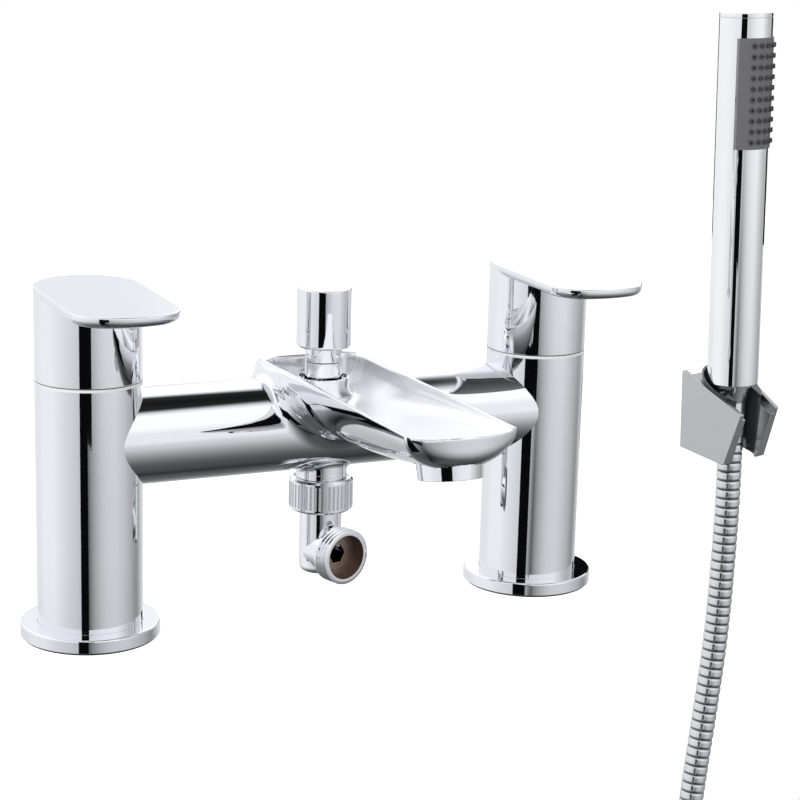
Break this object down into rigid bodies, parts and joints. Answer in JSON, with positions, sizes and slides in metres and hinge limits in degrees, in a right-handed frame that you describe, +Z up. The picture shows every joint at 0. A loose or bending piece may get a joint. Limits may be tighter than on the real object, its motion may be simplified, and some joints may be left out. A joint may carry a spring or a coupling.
{
  "type": "bath shower mixer",
  "caption": "Deck mounted bath shower mixer with two levers, a scooped spout, a pull-up diverter, and a handset on a ribbed hose held by a wall bracket.",
  "frame": {"origin": "midway between the two pillars' axes, on the deck's surface", "axes": "+X along the bar from the left pillar to the right one, -Y the way the spout points, +Z up"},
  "size_m": [0.5251, 0.2833, 0.5737],
  "materials": {
    "chrome": "polished chrome plating",
    "handset_chrome": "polished chrome plating",
    "hose_steel": "polished stainless spiral",
    "steel": "plain stainless steel",
    "brass": "machined brass",
    "ceramic": "ground ceramic, stood in for by gloss plastic",
    "rubber": "moulded rubber",
    "trim": "light low friction ring",
    "black_plastic": "moulded black plastic",
    "white_plastic": "moulded white plastic",
    "silicone": "grey silicone",
    "cup_black": "dark glossy liner"
  },
  "bodies": {
    "mixer": {"left_base_seal": "rubber", "right_base_seal": "rubber", "left_base_flange": "chrome", "right_base_flange": "chrome", "left_pillar": "chrome", "right_pillar": "chrome", "left_trim_ring": "trim", "right_trim_ring": "trim", "left_cartridge_seal": "rubber", "right_cartridge_seal": "rubber", "left_cartridge_sleeve": "brass", "right_cartridge_sleeve": "brass", "left_fixed_disc": "ceramic", "right_fixed_disc": "ceramic", "left_gland_nut": "brass", "right_gland_nut": "brass", "mixer_body": "chrome", "diverter_bush": "chrome", "diverter_spring": "steel", "outlet_nipple": "chrome", "union_washer": "rubber", "aerator_housing": "chrome", "aerator_insert": "white_plastic", "aerator_washer": "rubber", "bracket_body": "handset_chrome", "bracket_cup": "cup_black", "bracket_screws": "steel"},
    "left_lever": {"left_handle": "chrome", "left_grub_screw": "steel", "left_spindle": "brass", "left_moving_disc": "ceramic"},
    "right_lever": {"right_handle": "chrome", "right_grub_screw": "steel", "right_spindle": "brass", "right_moving_disc": "ceramic"},
    "diverter": {"diverter_knob": "chrome", "diverter_plunger": "brass", "diverter_seal": "rubber"},
    "nut": {"union_nut": "chrome"},
    "elbow": {"outlet_elbow": "chrome"},
    "hose": {"hose_cone_nut": "handset_chrome", "hose_drop": "hose_steel", "hose_coil": "hose_steel", "hose_tie": "black_plastic", "hose_end_ferrule": "handset_chrome", "hose_washer": "rubber"},
    "handset": {"handset_tube": "handset_chrome", "handset_cap": "handset_chrome", "nozzle_pad": "silicone", "handset_waterway": "white_plastic", "handset_tail": "brass"},
    "free_nut": {"hose_nut": "handset_chrome"}
  },
  "joints": [
    {"name": "left_lever_turn", "type": "hinge", "parent": "mixer", "child": "left_lever", "pos_m": [-0.09, 0, 0.1], "axis": [0, 0, 1], "range_deg": [0, 90]},
    {"name": "right_lever_turn", "type": "hinge", "parent": "mixer", "child": "right_lever", "pos_m": [0.09, 0, 0.1], "axis": [0, 0, 1], "range_deg": [-90, 0]},
    {"name": "diverter_lift", "type": "slide", "parent": "mixer", "child": "diverter", "axis": [0, 0, 1], "range_m": [0, 0.008], "stiffness_N_per_m": 60, "springref_m": -0.004, "deforming": ["diverter_spring"]},
    {"name": "union_nut_spin", "type": "hinge", "parent": "mixer", "child": "nut", "pos_m": [0, 0, 0.045], "axis": [0, 0, 1], "continuous": true},
    {"name": "elbow_swivel", "type": "hinge", "parent": "mixer", "child": "elbow", "pos_m": [0, 0, 0.03], "axis": [0, 0, 1], "continuous": true},
    {"name": "handset_lift", "type": "slide", "parent": "mixer", "child": "hose", "axis": [-0.0375, -0.0084, 0.9993], "range_m": [0, 0.06]},
    {"name": "handset_swivel", "type": "hinge", "parent": "hose", "child": "handset", "pos_m": [0.27422, 0.12932, 0.03406], "axis": [-0.0375, -0.0084, 0.9993], "continuous": true},
    {"name": "hose_nut_spin", "type": "hinge", "parent": "hose", "child": "free_nut", "pos_m": [0.2456, 0.10929, -0.31], "axis": [0, 0, 1], "continuous": true}
  ]
}
